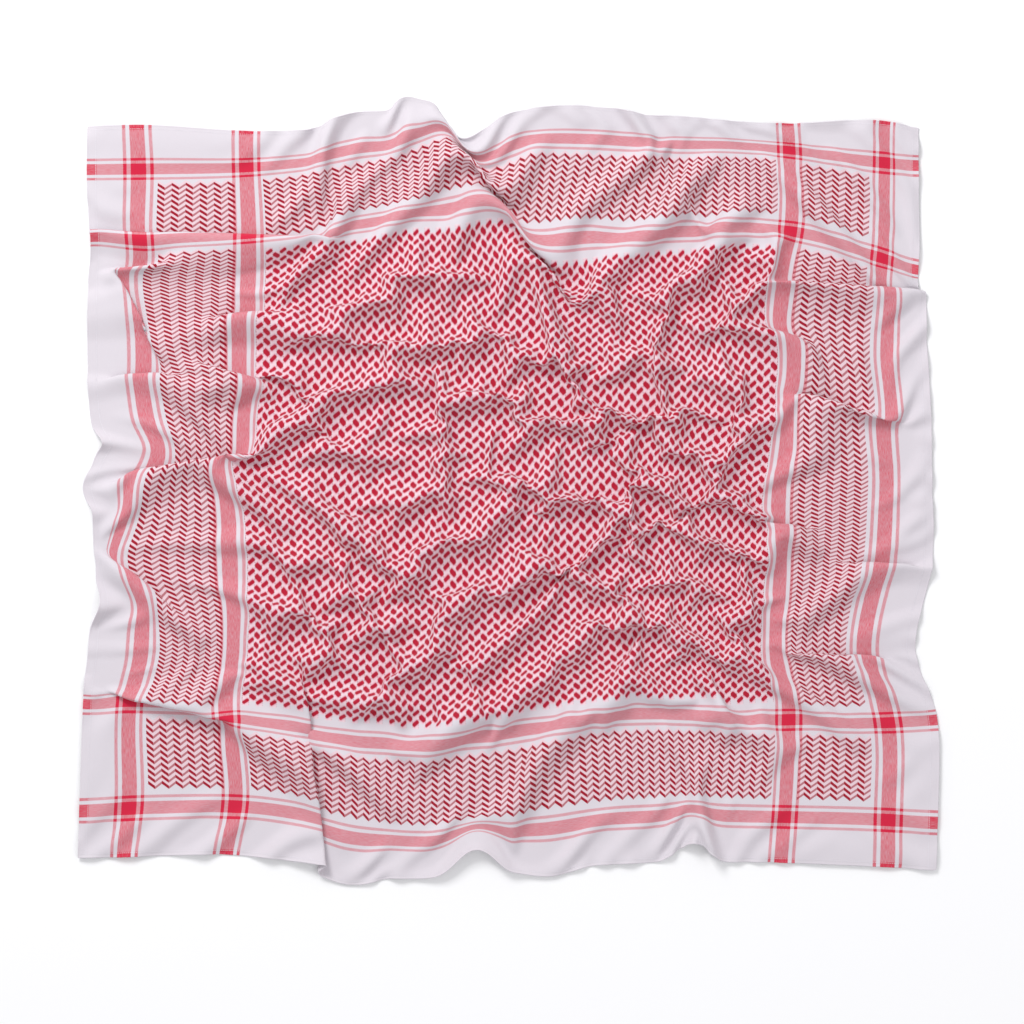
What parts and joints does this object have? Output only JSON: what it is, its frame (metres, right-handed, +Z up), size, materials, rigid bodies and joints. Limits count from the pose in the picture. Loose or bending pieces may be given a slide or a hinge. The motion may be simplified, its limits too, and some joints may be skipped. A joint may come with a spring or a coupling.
{
  "type": "keffiyeh headscarf laid out ruffled",
  "caption": "Square woven cotton keffiyeh with turned hems, pink double bands, zigzag borders and a fishnet centre, laid out ruffled on a flat surface.",
  "frame": {"origin": "middle of the laid scarf's bounding box, on the surface it lies on", "axes": "+X along the top and bottom hems, to the right hem; +Y from the bottom hem to the top hem; +Z up off the surface"},
  "size_m": [1.126, 1.0182, 0.0264],
  "materials": {
    "woven_cotton": "plain woven cotton, white ground with pink bands and crimson figures, soft and matt",
    "hem_cotton": "turned and stitched edge of the same cotton, matt"
  },
  "bodies": {
    "root": {"cloth": "woven_cotton", "hem_top": "hem_cotton", "hem_bottom": "hem_cotton", "hem_left": "hem_cotton", "hem_right": "hem_cotton"}
  },
  "joints": []
}
